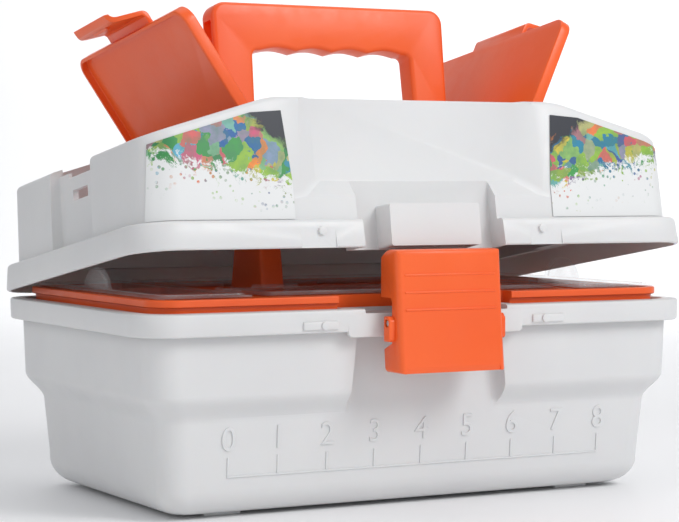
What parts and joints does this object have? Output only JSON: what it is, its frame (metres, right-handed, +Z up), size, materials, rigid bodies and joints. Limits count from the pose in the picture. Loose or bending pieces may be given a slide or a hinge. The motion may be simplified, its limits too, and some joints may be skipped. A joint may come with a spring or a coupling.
{
  "type": "fishing tackle box",
  "caption": "Small plastic fishing tackle box with a hinged lid, two hinged bin flaps on the lid, a folding handle, a front latch and a lift-out tray with clear covers.",
  "frame": {"origin": "on the floor, under the middle of the box's outer bounds", "axes": "+X to the right seen from the front, +Y from the latch towards the rear hinge, +Z up"},
  "size_m": [0.302, 0.2118, 0.2431],
  "materials": {
    "white_plastic": "satin moulded polypropylene",
    "orange_plastic": "satin moulded polypropylene",
    "clear_plastic": "clear, lightly frosted",
    "printed_label": "glossy printed film",
    "steel": "plain drawn wire"
  },
  "bodies": {
    "base": {"base_tub": "white_plastic", "hinge_pin_left": "steel", "hinge_pin_right": "steel", "latch_pin": "steel"},
    "lid": {"lid_shell": "white_plastic", "lid_catch": "white_plastic", "label_left": "printed_label", "label_right": "printed_label", "handle_pivot_left": "steel", "handle_pivot_right": "steel", "flap_pin_left": "steel", "flap_pin_right": "steel"},
    "handle": {"handle": "orange_plastic"},
    "flap_left": {"flap_left": "orange_plastic"},
    "flap_right": {"flap_right": "orange_plastic"},
    "latch": {"latch": "orange_plastic"},
    "tray": {"tray": "orange_plastic", "tray_wall_left": "orange_plastic", "tray_wall_right": "orange_plastic", "tray_spine_front": "orange_plastic", "tray_spine_rear": "orange_plastic", "tray_divider_left_front": "orange_plastic", "tray_divider_right_front": "orange_plastic", "tray_divider_left_rear": "orange_plastic", "tray_divider_right_rear": "orange_plastic", "tray_divider_front_left": "orange_plastic", "tray_divider_front_right": "orange_plastic", "tray_divider_rear_left": "orange_plastic", "tray_divider_rear_right": "orange_plastic", "tray_handle": "orange_plastic"},
    "tray_cover_left": {"tray_cover_left": "clear_plastic"},
    "tray_cover_right": {"tray_cover_right": "clear_plastic"},
    "tray_cover_front": {"tray_cover_front": "clear_plastic"},
    "tray_cover_rear": {"tray_cover_rear": "clear_plastic"}
  },
  "joints": [
    {"name": "lid_hinge", "type": "hinge", "parent": "base", "child": "lid", "pos_m": [0, 0.1037, 0.0954], "axis": [-1, 0, 0], "range_deg": [-8.4, 95]},
    {"name": "handle_fold", "type": "hinge", "parent": "lid", "child": "handle", "pos_m": [0, 0.01719, 0.18864], "axis": [1, 0, 0], "range_deg": [-85, 85]},
    {"name": "flap_left_hinge", "type": "hinge", "parent": "lid", "child": "flap_left", "pos_m": [-0.0796, 0.01544, 0.17677], "axis": [0, 0.9893, -0.1461], "range_deg": [-75, 20]},
    {"name": "flap_right_hinge", "type": "hinge", "parent": "lid", "child": "flap_right", "pos_m": [0.0796, 0.01544, 0.17677], "axis": [0, -0.9893, 0.1461], "range_deg": [-78, 20]},
    {"name": "latch_pivot", "type": "hinge", "parent": "base", "child": "latch", "pos_m": [0, -0.0955, 0.0888], "axis": [1, 0, 0], "range_deg": [-5, 28]},
    {"name": "tray_lift", "type": "slide", "parent": "base", "child": "tray", "axis": [0, 0, 1], "range_m": [0, 0.008]},
    {"name": "cover_left_hinge", "type": "hinge", "parent": "tray", "child": "tray_cover_left", "pos_m": [-0.0883, 0.0045, 0.1028], "axis": [0, 1, 0], "range_deg": [0, 25]},
    {"name": "cover_right_hinge", "type": "hinge", "parent": "tray", "child": "tray_cover_right", "pos_m": [0.0883, 0.0045, 0.1028], "axis": [0, -1, 0], "range_deg": [0, 25]},
    {"name": "cover_front_hinge", "type": "hinge", "parent": "tray", "child": "tray_cover_front", "pos_m": [0, -0.0181, 0.1028], "axis": [-1, 0, 0], "range_deg": [0, 50]},
    {"name": "cover_rear_hinge", "type": "hinge", "parent": "tray", "child": "tray_cover_rear", "pos_m": [0, 0.0271, 0.1028], "axis": [1, 0, 0], "range_deg": [0, 28]}
  ]
}
